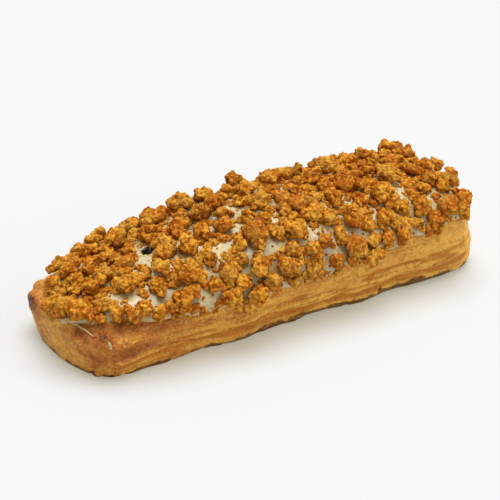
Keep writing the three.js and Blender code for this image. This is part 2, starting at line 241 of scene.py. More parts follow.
side_angles = np.concatenate(
    [np.arange(4, 56, 4.0), np.arange(56, 133, 1.2), np.arange(134, 178, 6.0)]
)
crust_angles = np.radians(np.concatenate([-side_angles[::-1], [0.0], side_angles, [180.0]]))
crust_x, crust_a = np.meshgrid(crust_places(48, 220, 48), crust_angles, indexing="ij")
crust_rows, crust_columns = crust_x.shape
print("crust grid", crust_x.shape)


# %% Wrinkles, blisters and the torn lower edge
HOLE = {"x": -37.5, "angle": -1.0, "radius": 1.7, "depth": 4.5}


def in_hole(points, outer, inner):
    """0 further than `outer` radii from the filling hole's axis, 1 nearer than `inner` radii."""
    centre, axis = skin(HOLE["x"], math.radians(HOLE["angle"]))
    away = points - centre
    away = away - (away @ axis)[:, None] * axis
    return smoothstep(np.linalg.norm(away, axis=1), HOLE["radius"] * outer, HOLE["radius"] * inner)


crust_points, crust_out = (part.reshape(-1, 3) for part in skin(crust_x, crust_a))
stretched = crust_points * np.array([0.35, 1.0, 1.0])
wrinkle = noise_at(stretched, 2.4) * 0.18 + noise_at(stretched, 1.1, 7.0) * 0.12
combed = np.abs(noise_at(crust_points * np.array([0.09, 1.0, 1.0]), 1.7, 51.0))
ringed = np.abs(noise_at(crust_points * np.array([1.0, 0.3, 0.3]), 2.6, 55.0))
at_left_end = smoothstep(-crust_points[:, 0], 57, 66)
near_tip = smoothstep(-crust_x.ravel(), 66, 69.6)
near_right = smoothstep(crust_points[:, 0], 58, 67)
long_lines = np.clip(0.22 - combed, 0, 1) / 0.22 * (1 - at_left_end) * (1 - 0.8 * near_right)
round_lines = np.clip(0.25 - ringed, 0, 1) / 0.25 * at_left_end * (1 - near_tip)
crinkle = -0.9 * (long_lines + round_lines)
crinkle *= 0.35 + 0.65 * smoothstep(crust_points[:, 2], 14, 7)
blister = np.clip(cells_at(crust_points, 3.2, 3.0)[0] - 0.55, 0, 1) * 0.35
blister *= np.clip(noise_at(crust_points, 14.0, 5.0) * 2.0, 0, 1)
pores = -0.3 * np.clip(cells_at(crust_points, 1.7, 11.0)[0] - 0.88, 0, 1) / 0.12
near_tray = smoothstep(crust_points[:, 2], 3.5, 0.5)
lip = near_tray * (0.2 + 0.3 * noise_at(crust_points, 6.0, 21.0))
crust_points = crust_points + crust_out * (wrinkle + crinkle + blister + pores + lip)[:, None]
crust_points -= crust_out * (HOLE["depth"] + 1.5) * in_hole(crust_points, 1.9, 1.2)[:, None]
crust_points[:, 2] = np.maximum(crust_points[:, 2], 0)
print("deepest crinkle", crinkle.min().round(2), "highest blister", blister.max().round(2))

# %% Where the crust baked darker
# Patches of deeper brown: (x, angle, half length, half width, strength), lengths in millimetres.
# A strength below zero makes a paler patch.
BROWNED = [
    (-64.5, -84, 3.5, 2.8, 0.5), (-60, -76, 5, 2.0, 0.35), (-58, -95, 8, 2.2, 0.4),
    (-49, -96, 5, 1.8, 0.3), (-46, -82, 14, 2.2, 0.25), (-45, -100, 14, 1.4, 0.25),
    (-28, -90, 4, 1.5, 0.4), (-16, -88, 3, 1.8, 0.55), (-6, -86, 2, 1.2, 0.65),
    (-50, -72, 9, 2, 0.35), (4, -84, 9, 1.8, 0.3), (-68.3, 90, 1.1, 3.8, 1.2),
    (-67.5, -78, 2, 2, 0.15), (-67, -105, 2.5, 2.5, 0.35), (22, -80, 8, 1.6, 0.3),
    (68, -95, 3, 3, 0.3), (30, 92, 12, 2, 0.4), (-20, 100, 16, 3, 0.4),
    (-69.5, 35, 2.5, 12, -0.35), (-68.4, -52, 2, 4, -0.35),
]


def baked_dark(x, angle, points):
    """How dark the crust baked, from 0 to about 1: most at the left, in patches and in streaks."""
    dark = 0.34 - 0.3 * smoothstep(x, -62, 30) + 0.3 * noise_at(points, 11.0, 71.0)
    dark += 0.22 * noise_at(points * np.array([0.25, 1.0, 1.0]), 2.6, 75.0)
    for px, pangle, half_length, half_width, strength in BROWNED:
        along = (x - px) / half_length
        around = (np.degrees(angle) - pangle) * math.radians(HALF_WIDTH) / half_width
        dark += strength * np.exp(-(along * along + around * around))
    return np.clip(dark, 0, 1.2)


bake = baked_dark(crust_x.ravel(), crust_a.ravel(), crust_points)
print("crust darkness", bake.min().round(2), bake.mean().round(2), bake.max().round(2))

# %% The crust as a closed mesh
tips = np.array([crust_points[:crust_columns].mean(0), crust_points[-crust_columns:].mean(0)])
tip_index = len(crust_points)
ring = np.arange(crust_columns)
after = (ring + 1) % crust_columns
last_row = (crust_rows - 1) * crust_columns
crust_faces = grid_faces(crust_rows, crust_columns, wrap=True).tolist()
crust_faces += [[tip_index, j, k] for j, k in zip(ring, after)]
crust_faces += [[tip_index + 1, last_row + k, last_row + j] for j, k in zip(ring, after)]
groove = furrow_depth(crust_x, crust_a).ravel()
choux_crust = mesh_piece(
    "choux_crust",
    np.vstack([crust_points, tips]),
    crust_faces,
    {
        "groove": np.append(groove - 1.6 * crinkle, [0, 0]),
        "bake": np.append(bake, [0.4, 0.1]),
        "blister": np.append(blister + np.clip(pores, -1, 0), [0, 0]),
    },
)
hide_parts("choux_shell")
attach(choux_crust, "root")

# %% [markdown]
# ## The icing
#
# Poured icing runs down until it sets, so its lower edge is a row of rounded runs with a soft rim.
# It is made as a thin closed sheet: an upper face that curls down to the crust at its edge, and a lower
# face just inside the crust. Where the filling nozzle went in, the sheet dips into a pit. At its edge
# it is so thin that the crust tints it.

# %% Where the icing ends
ICING = {
    "thickness": 1.9,
    "rim": 5.0,
    "left_margin": 1.2,
    "right_margin": 2.2,
    "corner_pull": 3.0,
    "back_pull": 4.0,
    "lobe_pitch": 14.5,
    "lobe_drop": 4.0,
}
ICING_REACH = [(-70, 64), (-55, 69), (-40, 77), (-14, 81), (25, 75), (70, 65)]
GAP = 0.3
UNDER = 0.4


def icing_edge(x, side):
    """How far round from the top the icing's lower edge lies, in radians."""
    reach = np.interp(x, [p[0] for p in ICING_REACH], [p[1] for p in ICING_REACH])
    phase = math.pi * x / ICING["lobe_pitch"] + 0.9 * np.sin(x / 19 + side) + side
    return np.radians(reach + ICING["lobe_drop"] * np.abs(np.sin(phase)) ** 0.8)


print("icing edge at the middle", np.degrees(icing_edge(0.0, -1)).round(1))

# %% The icing's sheet
def icing_places(end_steps, middle_steps):
    first = -LENGTH / 2 + LEFT_END["reach"]
    last = LENGTH / 2 - RIGHT_END["reach"]
    turn = np.sin(np.arange(1, end_steps + 1) / end_steps * (math.pi / 2)) ** 0.9
    return np.concatenate(
        [
            first - (LEFT_END["reach"] - ICING["left_margin"]) * turn[::-1],
            np.linspace(first, last, middle_steps),
            last + (RIGHT_END["reach"] - ICING["right_margin"]) * turn,
        ]
    )


# %% Points of the icing
spread = np.sin(np.linspace(-1, 1, 91) * math.pi / 2) * 0.35 + np.linspace(-1, 1, 91) * 0.65
ice_x, ice_q = np.meshgrid(icing_places(28, 150), spread, indexing="ij")
ice_angle = 0.5 * (ice_q + np.sin(ice_q * math.pi / 2)) * icing_edge(ice_x, np.sign(ice_q))
set_back = ICING["corner_pull"] * np.abs(ice_q) ** 5 * smoothstep(ice_x, 30, 70)
set_back = set_back - ICING["back_pull"] * (0.5 + 0.5 * ice_q) * smoothstep(-ice_x, 35, 70)
to_left = ice_x + LENGTH / 2 - ICING["left_margin"]
to_right = LENGTH / 2 - ICING["right_margin"] - ice_x
to_side = (1 - np.abs(ice_q)) * HALF_WIDTH * 1.4
inside = np.clip(np.minimum(np.minimum(to_left * 2, to_right * 2), to_side) / ICING["rim"], 0, 1)
rounded = np.sqrt(1 - (1 - inside) ** 2)
ice_low, _ = skin(ice_x - set_back, ice_angle, -0.25)
ice_flat, ice_out = skin(ice_x - set_back, ice_angle, 0.0)
ripple = noise_at(ice_flat.reshape(-1, 3), 5.5, 31.0).reshape(ice_x.shape) * 0.28
ice_lift = -0.25 + (ICING["thickness"] + GAP + 0.25 + ripple) * rounded
ice_top = (ice_flat + ice_out * ice_lift[..., None]).reshape(-1, 3)
pit = in_hole(ice_top, 1.3, 1.0)
ice_top -= ice_out.reshape(-1, 3) * (HOLE["depth"] + 2.0) * in_hole(ice_top, 1.15, 0.6)[:, None]
ice_low = ice_low.reshape(-1, 3)
ice_low -= ice_out.reshape(-1, 3) * (HOLE["depth"] + 0.5) * in_hole(ice_low, 1.6, 1.0)[:, None]
print("icing grid", ice_x.shape, "highest", ice_top[:, 2].max().round(1))

# %% The icing as a closed mesh
ice_rows, ice_columns = ice_x.shape
under = ice_rows * ice_columns
top_faces = grid_faces(ice_rows, ice_columns)
outline = np.concatenate(
    [
        np.arange(ice_columns),
        np.arange(1, ice_rows) * ice_columns + ice_columns - 1,
        under - 2 - np.arange(ice_columns - 1),
        (ice_rows - 2 - np.arange(ice_rows - 2)) * ice_columns,
    ]
)
outline_next = np.roll(outline, -1)
rim_faces = np.stack([outline, outline_next, outline_next + under, outline + under], -1)
icing_sheet = mesh_piece(
    "icing_sheet",
    np.vstack([ice_top, ice_low]),
    np.vstack([top_faces, top_faces[:, ::-1] + under, rim_faces]),
    {
        "pit": np.concatenate([pit, np.zeros(under)]),
        "thin": np.concatenate([smoothstep(rounded.ravel(), 0.85, 0.35), np.ones(under)]),
    },
)
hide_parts("icing_crumble")
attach(icing_sheet, "root")

# %% [markdown]
# ## Where the crumble lies
#
# Crumble falls where it will, but not evenly: a few large lumps catch the eye, and smaller ones fill in.
# The places of the large lumps are listed, and a seeded rule strews the rest, so that every run gives the
# same eclair. The rule draws its numbers in the same order as the model's own, so each lump here sits on
# the lump that the solid has.

# %% Lists of lumps and bare patches
# Lumps placed one by one: (x, angle, size).
LARGE_LUMPS = [
    (-64, -61, 10.5), (-57, -70, 6.5), (-53, -72, 6), (-57, -22, 8), (-49, -45, 8.5), (-49, -68, 7),
    (-52, -8, 8.5), (-59, 14, 8.5), (-65.5, -36, 7.5), (-66, -8, 7.5), (-65.5, 22, 7.5), (-64, 45, 8),
    (-57, 48, 8), (-57, 63, 8), (-49, 50, 8), (-44.5, -10, 7), (-41.5, -52, 7.5), (-42, 38, 10.5),
    (-37, -68, 9.5), (-34, -21, 8.5), (-32, -52, 8.5), (-32.5, -7, 8), (-35, 53, 10), (-28, 46, 10),
    (-25, 12, 8.5), (-24, -44, 6.5), (-22, -74, 8), (-21, -57, 7.5), (-17, -66, 6.5), (-14, -77, 9),
    (-15, -50, 6.5), (-18, 46, 11), (-12, -34, 6.5), (-11, 18, 8.5), (-11, -59, 8.5), (-8, -35, 11),
    (-3, -25, 6.5), (-2, -39, 7), (-2, -64, 9), (-1, -6, 8), (1, 40, 9.5), (1, -54, 7), (5, 10, 6.5),
    (7, -8, 8), (7, -57, 6.5), (10, -21, 9), (13, -34, 8), (12, -54, 6.5), (17, 42, 9), (13, 7, 6.5),
    (16, -15, 7.5), (16, -40, 7), (22, -4, 6.5), (24, -46, 10), (21.5, -65, 10), (23, 18, 8),
    (29, 26, 9), (27, -75.5, 7.5), (29.5, -9, 10.5), (34, -51, 7), (37, -33, 9.5), (38, 8, 8),
    (40, 41, 9), (45, -9, 10.5), (39, -64, 7), (48, -53, 8.5), (47.5, 38, 10), (50, 16, 9.5),
    (56, -3, 8), (58, -27, 8.5), (61, 33, 8.5), (57, -58, 10), (60, -41, 7), (65, -29, 8),
    (65.5, 10, 8.5), (64, -56, 9), (-45, -72, 6.5), (-33, -64, 6.5), (14, -70, 7), (18, -57, 6.5),
    (33, -66, 6.5), (41, -47, 6.5), (52, -64, 6.5), (62, -66, 6.5), (53, -38, 6.5), (6, -72.5, 6.5),
    (-6, 71, 6.5),
]
# Patches of icing that stay bare: (x, angle, half length, half width).
BARE_PATCHES = [
    (-55, -50, 3.8, 2), (-50, -58, 3, 1.8), (-43, -62, 2.6, 2), (-40, -18, 1.6, 4.4),
    (-38, -3, 2.6, 2.6), (-29, -70, 2.2, 2.4), (-51, -20, 2, 1.6), (-17, -34, 4, 1.2),
    (-7, -47, 6, 1.8), (-8, -4, 1.6, 2.2), (12, -66, 2, 1.2), (22, -56, 2.2, 1), (33, -28, 1.6, 1.8),
    (45, -30, 2.4, 1.4), (53, -49, 1.2, 2.2), (64, -38, 1.6, 1.2), (43, -72, 3.6, 1.2),
]
# The strewn ones, the larger sort first. `points` is the number of a lump's corners.
STREWN = [
    {"least": 6.6, "most": 8.4, "tries": 1500, "points": 8, "spacing": 0.93},
    {"least": 5.0, "most": 6.4, "tries": 1600, "points": 7, "spacing": 0.88},
]
STREW_SEED = 41
RIDER = {"share": 0.05, "least": 4.4, "most": 6.0, "points": 7}  # lumps that lie on other lumps
LUMP_SHAPE = {"length": 1.22, "width": 1.04, "height": 0.86, "rough": 0.24}
LARGE_POINTS = 11
SHOULDER_FROM = 7.5  # from this size a lump has a smaller one fused to its flank
STRAY = {"left": -63, "right": 62}
print("lumps placed by hand", len(LARGE_LUMPS), "bare patches", len(BARE_PATCHES))


# %% A seeded draw
def random_source(seed):
    state = [seed]

    def draw():
        state[0] = (state[0] * 1664525 + 1013904223) & 0xFFFFFFFF
        return state[0] / 4294967296

    return draw


def is_bare(x, angle, size, margin_share=0.3):
    margin = margin_share * size
    for px, pangle, half_length, half_width in BARE_PATCHES:
        along = (x - px) / (half_length + margin)
        around = math.radians(angle - pangle) * HALF_WIDTH / (half_width + margin)
        if along * along + around * around < 1:
            return True
    return False


def tangent(outward, turn):
    """A direction along the surface, turned about the outward one."""
    along = np.array([1.0, 0.0, 0.0]) - outward[0] * outward
    along /= np.linalg.norm(along)
    return along * math.cos(turn) + np.cross(outward, along) * math.sin(turn)


print("first draw of seed", STREW_SEED, "is", round(random_source(STREW_SEED)(), 4))

# %% Laying out the lumps
def lump_lift(size):
    half = size / 2 * LUMP_SHAPE["height"]
    return GAP + max(UNDER + 0.1 + half, ICING["thickness"] + 0.1 * size)


def crumble_layout():
    draw = random_source(STREW_SEED)
    lumps = []

    def lay(x, angle, size, points, kind):
        centre, outward = skin(x, math.radians(angle), lump_lift(size))
        lumps.append({"centre": centre, "outward": outward, "size": size, "points": points, "kind": kind})

    for x, angle, size in LARGE_LUMPS:
        lay(x, angle, size * 0.8, LARGE_POINTS, "large")
        if size < SHOULDER_FROM:
            continue
        host = lumps[-1]
        sideways = tangent(host["outward"], draw() * 2 * math.pi)
        centre = host["centre"] + sideways * host["size"] * 0.5
        centre = centre + host["outward"] * host["size"] * (0.1 * draw() - 0.12)
        size = host["size"] * (0.5 + 0.2 * draw())
        shoulder = {"centre": centre, "outward": host["outward"], "size": size}
        lumps.append({**shoulder, "points": RIDER["points"], "kind": "shoulder"})
    for sort in STREWN:
        for _ in range(sort["tries"]):
            x = STRAY["left"] + (STRAY["right"] - STRAY["left"]) * draw()
            side = -1 if draw() < 0.5 else 1
            angle = side * draw() * (math.degrees(icing_edge(x, side)) - 5)
            size = sort["least"] + (sort["most"] - sort["least"]) * draw()
            if is_bare(x, angle, size):
                continue
            place, _ = skin(x, math.radians(angle), lump_lift(size))
            near = np.array([np.linalg.norm(lump["centre"] - place) for lump in lumps])
            reach = np.array([sort["spacing"] * (lump["size"] + size) / 2 for lump in lumps])
            if not (near < reach).any():
                lay(x, angle, size, sort["points"], "strewn")
    for host in list(lumps):
        if host["size"] > 5.4 and draw() < RIDER["share"]:
            size = RIDER["least"] + (RIDER["most"] - RIDER["least"]) * draw()
            centre = host["centre"] + host["outward"] * host["size"] * 0.3
            centre = centre + tangent(host["outward"], draw() * 2 * math.pi) * host["size"] * 0.25
            rider = {"centre": centre, "outward": host["outward"], "size": size}
            lumps.append({**rider, "points": RIDER["points"], "kind": "rider"})
    return lumps


lumps = crumble_layout()
for kind in ("large", "shoulder", "strewn", "rider"):
    print(kind, sum(lump["kind"] == kind for lump in lumps))

# %% [markdown]
# ## What one lump looks like
#
# A crumb of biscuit is a broken piece: angular as a whole, but grainy all over, because flour and sugar
# grains part along their own edges. So each lump starts from the corners of its solid, rounded off, and
# then two sorts of grain, blocky ones and smaller round ones, push its surface out, and the creases between
# them are painted dark as shade. Some lumps broke off the edge of a biscuit, and kept its browner side,
# and every lump is painted darker underneath, as shade.

# %% Corners and flat sides of a lump
def lump_corners(lump, draw):
    turn = draw() * 2 * math.pi
    lengthwise = tangent(lump["outward"], turn)
    sideways = tangent(lump["outward"], turn + math.pi / 2)
    golden = math.pi * (3 - math.sqrt(5))
    count = lump["points"]
    corners = []
    for i in range(count):
        height = 1 - 2 * (i + 0.5) / count
        ring_size = math.sqrt(1 - height * height)
        reach = lump["size"] / 2 * (1 - LUMP_SHAPE["rough"] / 2 + LUMP_SHAPE["rough"] * draw())
        corner = lengthwise * (reach * LUMP_SHAPE["length"] * ring_size * math.cos(i * golden))
        corner = corner + sideways * (reach * LUMP_SHAPE["width"] * ring_size * math.sin(i * golden))
        corners.append(corner + lump["outward"] * (reach * LUMP_SHAPE["height"] * height))
    return np.array(corners)


def flat_sides(corners):
    """Outward directions and distances of the sides of the hull of some corners."""
    hull = bmesh.new()
    for corner in corners:
        hull.verts.new(corner)
    bmesh.ops.convex_hull(hull, input=hull.verts)
    hull.normal_update()
    directions, distances = [], []
    for face in hull.faces:
        distance = face.normal.dot(face.verts[0].co)
        flip = -1 if distance < 0 else 1
        directions.append(list(face.normal * flip))
        distances.append(max(distance * flip, 0.25))
    hull.free()
    return np.array(directions), np.array(distances)


print("sides of the first lump", len(flat_sides(lump_corners(lumps[0], random_source(STREW_SEED + 1)))[0]))

# %% A ball to shape them from
BALLS = {}


def ball(steps):
    """Points and faces of a ball: a cube of `steps` squares a side, puffed up."""
    if steps not in BALLS:
        points, faces = {}, []
        spread_out = [math.tan((2 * i / steps - 1) * math.pi / 4) for i in range(steps + 1)]
        for axis in range(3):
            for side in (-1.0, 1.0):
                patch = []
                for u in spread_out:
                    for v in spread_out:
                        corner = [u, v]
                        corner.insert(axis, side)
                        key = tuple(round(c, 6) for c in corner)
                        patch.append(points.setdefault(key, len(points)))
                for face in grid_faces(steps + 1, steps + 1):
                    quad = [patch[k] for k in face]
                    faces.append(quad if (side > 0) != (axis == 1) else quad[::-1])
        unit = np.array(list(points))
        BALLS[steps] = (unit / np.linalg.norm(unit, axis=1, keepdims=True), np.array(faces))
    return BALLS[steps]


print("ball of 12 steps", len(ball(12)[1]), "faces")

# %% Graining a lump
# Size and height of each sort of grain, its say in the painted shade of the creases, and whether it is
# blocky.
GRAINS = [(2.5, 0.65, 0.5, True), (1.0, 0.42, 0.5, False)]


def shape_lump(lump, corners, steps, roughness=1.0, baked_side=None):
    """Points and faces of one lump, its creases, the tone of its grains, and its browning and shade.

    `baked_side` points to a side that lay against the hot tray and turned browner. The underside is painted
    half dark, as shade.
    """
    directions, faces = ball(steps)
    baked = np.zeros(len(directions))
    if baked_side is not None:
        baked = smoothstep(directions @ baked_side, 0.45, 0.75)
    # Painted shade: every lump is made darker on its underside, at most 0.55 as dark as a browned side.
    baked = np.maximum(baked, 0.55 * smoothstep(-directions @ lump["outward"], 0.0, 0.7))
    directions = directions + 0.3 * lump["outward"]
    directions = directions / np.linalg.norm(directions, axis=1, keepdims=True)
    normals, distances = flat_sides(corners)
    facing = np.maximum(directions @ normals.T, 0) / distances
    reach = (facing**14).sum(1) ** (-1 / 14)
    points = lump["centre"] + directions * reach[:, None]
    scale = min(1.0, lump["size"] / 6.5)
    height = (noise_at(points, 3.4, 60.0) * 0.7 + noise_at(points, 1.3, 64.0) * 0.25) * scale
    crease_shade, tone = np.zeros(len(points)), np.zeros(len(points))
    for k, (size, tall, say, blocky) in enumerate(GRAINS):
        grain, lot = cells_at(points, size * (0.55 + 0.45 * scale), 40.0 + 9 * k, blocky)
        height += (grain * (0.55 + 0.9 * lot) - 0.62) * tall * scale
        crease_shade += grain * say
        tone += lot * say
    points = points + directions * (height * roughness)[:, None]
    return points, faces, crease_shade, tone, baked


# %% Joining shapes into one mesh
def join_shapes(name, shapes, tints):
    """One mesh of many shapes. A tint is a number from 0 to 1 for the whole of a shape."""
    starts = np.cumsum([0] + [len(shape[0]) for shape in shapes])
    masks = {
        "crease_shade": np.concatenate([shape[2] for shape in shapes]),
        "tone": np.concatenate([shape[3] + 0.5 * (tint - 0.4) for shape, tint in zip(shapes, tints)]),
        "tint": np.concatenate([np.full(len(shape[0]), tint) for shape, tint in zip(shapes, tints)]),
        "baked": np.concatenate([shape[4] for shape in shapes]),
    }
    faces = np.vstack([shape[1] + start for shape, start in zip(shapes, starts)])
    return mesh_piece(name, np.vstack([shape[0] for shape in shapes]), faces, masks)


# %% The lumps of the solid
# A few pieces broke cleanly and stayed smooth, with less grain than the others. A few at the edge and
# beside bare patches baked darker. Both are given by place: (x, angle).
SMOOTH_CHUNKS = [(-8, -35), (57, -58), (7, -8), (10, -21), (22, -65)]
DARK_CHUNKS = [(8, -71), (16, -71), (-16, 17), (-13, -48)]
corner_draw = random_source(STREW_SEED + 1)
tint_draw = random_source(7)
side_draw = random_source(13)
smooth_places = [skin(x, math.radians(a), 3.0)[0] for x, a in SMOOTH_CHUNKS]
dark_places = [skin(x, math.radians(a), 3.0)[0] for x, a in DARK_CHUNKS]
families = {"crumble_large": [], "crumble_shoulder": [], "crumble_front": [], "crumble_back": []}
family_tints = {name: [] for name in families}
for lump in lumps:
    corners = lump_corners(lump, corner_draw)
    steps = int(np.clip(round(lump["size"] * 1.9), 8, 16))
    is_smooth = min(np.linalg.norm(lump["centre"] - p) for p in smooth_places) < 2.5
    family = "crumble_front" if lump["centre"][1] < 0 else "crumble_back"
    if lump["kind"] in ("large", "shoulder"):
        family = "crumble_" + lump["kind"]
    baked_side = tangent(lump["outward"], side_draw() * 2 * math.pi) + lump["outward"] * (side_draw() - 0.6)
    baked_side = baked_side / np.linalg.norm(baked_side) if side_draw() < 0.4 else None
    shape = shape_lump(lump, corners, steps, 0.4 if is_smooth else 1.0, baked_side)
    points, faces, crease_shade, tone, baked = shape
    if min(np.linalg.norm(lump["centre"] - p) for p in dark_places) < 4.0:
        tone = tone + 0.7
    families[family].append((points, faces, crease_shade, tone, baked))
    family_tints[family].append(0.9 if is_smooth else 0.7 * tint_draw())
crumble = [join_shapes(name, families[name], family_tints[name]) for name in families]


# %% [markdown]
# ## Small crumbs and dust
#
# Between the lumps lie crumbs of every smaller size, down to dust. The model's solid leaves these out.
# They are thrown by a seeded rule too. Each one falls until it meets a lump, the icing or the crust,
# and most of those that would stay high up roll off, so crumbs gather in the creases and thin out on
# bare patches. A little of the dust lands past the icing's edge.

# %% Where a falling crumb comes to rest
def fall_on(shapes):
    """A tree of all the faces that a falling crumb can meet."""
    starts = np.cumsum([0] + [len(shape[0]) for shape in shapes])
    faces = np.vstack([shape[1] + start for shape, start in zip(shapes, starts)])
    return BVHTree.FromPolygons(np.vstack([shape[0] for shape in shapes]).tolist(), faces.tolist())


crust_grid = grid_faces(crust_rows, crust_columns, wrap=True)
layer = fall_on(
    [shape for family in families.values() for shape in family]
    + [(ice_top, top_faces), (crust_points, crust_grid)]
)


# %% Throwing crumbs
def strew(count, least, most, seed, bare_share, high_share, past_edge=0.0):
    """Small crumbs. Of those on a bare patch or high on a lump only a share stays."""
    draw = random_source(seed)
    small = []
    while len(small) < count:
        x = (LENGTH / 2 - 2) * (2 * draw() - 1)
        side = -1 if draw() < 0.5 else 1
        angle = side * draw() * (math.degrees(icing_edge(x, side)) - 1 + past_edge)
        size = least + (most - least) * draw()
        keep = draw()
        if is_bare(x, angle, size, 0.2) and keep > bare_share:
            continue
        icing_top, outward = skin(x, math.radians(angle), GAP + ICING["thickness"])
        fall = layer.ray_cast(Vector(icing_top + 9 * outward), Vector(-outward), 13)[3]
        rest = -9 if fall is None else 9 - fall
        if rest < (-1.7 if past_edge == 0 else -3) or (rest > 1.4 and keep > high_share):
            continue
        centre = icing_top + outward * (rest + size * 0.02)
        small.append({"centre": centre, "outward": outward, "size": size, "points": 9, "kind": "small"})
    return small


landed = layer.ray_cast(Vector((0, 0, 90)), Vector((0, 0, -1)))[0]
print("a crumb dropped over the middle lands at a height of", round(landed.z, 1))

# %% Strewing the small crumbs
small_draw = random_source(91)
# Number, least and most size, seed, shares that stay on bare patches and high up, squares a side.
SMALL_SORTS = {
    "crumble_small": (430, 2.6, 4.6, 17, 0.0, 0.1, 6),
    "crumble_fine": (950, 1.3, 2.5, 29, 0.03, 0.12, 4),
}
for name, (count, least, most, seed, bare_share, high_share, steps) in SMALL_SORTS.items():
    crumbs = strew(count, least, most, seed, bare_share, high_share)
    shapes = [shape_lump(crumb, lump_corners(crumb, small_draw), steps) for crumb in crumbs]
    crumble.append(join_shapes(name, shapes, [0.7 * small_draw() for _ in shapes]))

# %% Strewing the dust
dust_shapes = []
dust_draw = random_source(57)
dust_directions, dust_faces = ball(2)
for crumb in strew(1700, 0.35, 0.95, 23, 0.3, 0.2, past_edge=2.5):
    reach = crumb["size"] / 2 * np.array([0.75 + 0.5 * dust_draw() for _ in dust_directions])
    points = crumb["centre"] + dust_directions * reach[:, None]
    alike = np.ones(len(points))
    dust_shapes.append((points, dust_faces, alike * 0.62, alike * dust_draw(), alike * 0))
crumble.append(join_shapes("crumble_dust", dust_shapes, [dust_draw() for _ in dust_shapes]))

for piece in crumble:
    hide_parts("icing_crumble")
    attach(piece, "root")

# %% [markdown]
# ## A stray run of icing
#
# At the left end a thin thread of icing ran down the bare crust, and a finger left a small smear lower
# down. The thread is a tube whose radius shrinks towards its end, laid along a path on the crust. The
# smear is a flat drop on it. Both are so thin that the crust shows through and tints them.

# %% The thread of icing
DRIP = {"x": -68.0, "angle": -62.0, "run": 2.6, "fall": 19.0, "radius": 0.46}
along_drip = np.linspace(0, 1, 40)
drip_angle = np.radians(DRIP["angle"] - DRIP["fall"] * along_drip**1.6)
drip_path, drip_out = skin(DRIP["x"] + DRIP["run"] * along_drip, drip_angle, 0.25)
drip_ahead = np.gradient(drip_path, axis=0)
drip_ahead /= np.linalg.norm(drip_ahead, axis=1, keepdims=True)
drip_side = np.cross(drip_ahead, drip_out)
drip_radius = DRIP["radius"] * (1 - along_drip**3) ** 0.5 * (1 + 0.18 * np.sin(along_drip * 17)) + 0.02
turns = np.linspace(0, 2 * math.pi, 13)[:-1]
drip_points = (
    drip_path[:, None]
    + drip_radius[:, None, None] * 0.75 * np.sin(turns)[None, :, None] * drip_out[:, None]
    + drip_radius[:, None, None] * np.cos(turns)[None, :, None] * drip_side[:, None]
)
drip_faces = grid_faces(40, 12, wrap=True).tolist() + [list(range(12)), list(range(479, 467, -1))]
thread_masks = {"pit": np.zeros(480), "thin": np.full(480, 0.6)}
icing_thread = mesh_piece("icing_thread", drip_points.reshape(-1, 3), drip_faces, thread_masks)

# %% The smear
SMEAR = {"x": -62.8, "angle": -87.0, "half_along": 0.45, "half_around": 1.3, "tall": 0.25}
round_drop, drop_faces = ball(6)
smear_points, _ = skin(
    SMEAR["x"] + SMEAR["half_along"] * round_drop[:, 0],
    math.radians(SMEAR["angle"]) + SMEAR["half_around"] * round_drop[:, 1] / HALF_WIDTH,
    SMEAR["tall"] * round_drop[:, 2],
)
smear_masks = {"pit": np.zeros(len(smear_points)), "thin": np.full(len(smear_points), 0.9)}
icing_smear = mesh_piece("icing_smear", smear_points, drop_faces, smear_masks)
for piece in (icing_thread, icing_smear):
    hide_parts("icing_crumble")
    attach(piece, "root")

# %% [markdown]
# ## Materials
#
# Three finishes show: baked crust, icing and biscuit. Each has colour that drifts over centimetres and
# flecks of about a millimetre. That pattern is the same kind of thing in all three, so it is one node
# group, placed with its own sizes each time.

# %% Node helpers
def new_material(name):
    material = bpy.data.materials.new(name)
    material.use_nodes = True
    nodes = material.node_tree.nodes
    return material, nodes, material.node_tree.links, nodes["Principled BSDF"]


def add_ramp(nodes, stops):
    """A colour ramp through (position, colour) stops."""
    ramp = nodes.new("ShaderNodeValToRGB")
    elements = ramp.color_ramp.elements
    while len(elements) < len(stops):
        elements.new(0.5)
    for element, (position, colour) in zip(elements, stops):
        element.position = position
        element.color = (*colour, 1)
    return ramp


def add_mask(nodes, name):
    attribute = nodes.new("ShaderNodeAttribute")
    attribute.attribute_name = name
    return attribute.outputs["Fac"]


# %% The speckle group
def build_speckle_group():
    group = bpy.data.node_groups.new("baked_speckle", "ShaderNodeTree")
    for socket, value in (("Drift Scale", 60.0), ("Fleck Scale", 700.0)):
        made = group.interface.new_socket(socket, in_out="INPUT", socket_type="NodeSocketFloat")
        made.default_value = value
    group.interface.new_socket("Drift", in_out="OUTPUT", socket_type="NodeSocketFloat")
    group.interface.new_socket("Fleck", in_out="OUTPUT", socket_type="NodeSocketFloat")
    nodes, links = group.nodes, group.links
    given, put_out = nodes.new("NodeGroupInput"), nodes.new("NodeGroupOutput")
    place = nodes.new("ShaderNodeTexCoord")
    for scale, result, detail in (("Drift Scale", "Drift", 4.0), ("Fleck Scale", "Fleck", 3.0)):
        texture = nodes.new("ShaderNodeTexNoise")
        texture.inputs["Detail"].default_value = detail
        links.new(place.outputs["Object"], texture.inputs["Vector"])
        links.new(given.outputs[scale], texture.inputs["Scale"])
        links.new(texture.outputs["Fac"], put_out.inputs[result])
    return group


speckle_group = build_speckle_group()
print("sockets of the speckle group", [item.name for item in speckle_group.interface.items_tree])


def add_speckle(nodes, drift_scale, fleck_scale):
    speckle = nodes.new("ShaderNodeGroup")
    speckle.node_tree = speckle_group
    speckle.inputs["Drift Scale"].default_value = drift_scale
    speckle.inputs["Fleck Scale"].default_value = fleck_scale
    return speckle


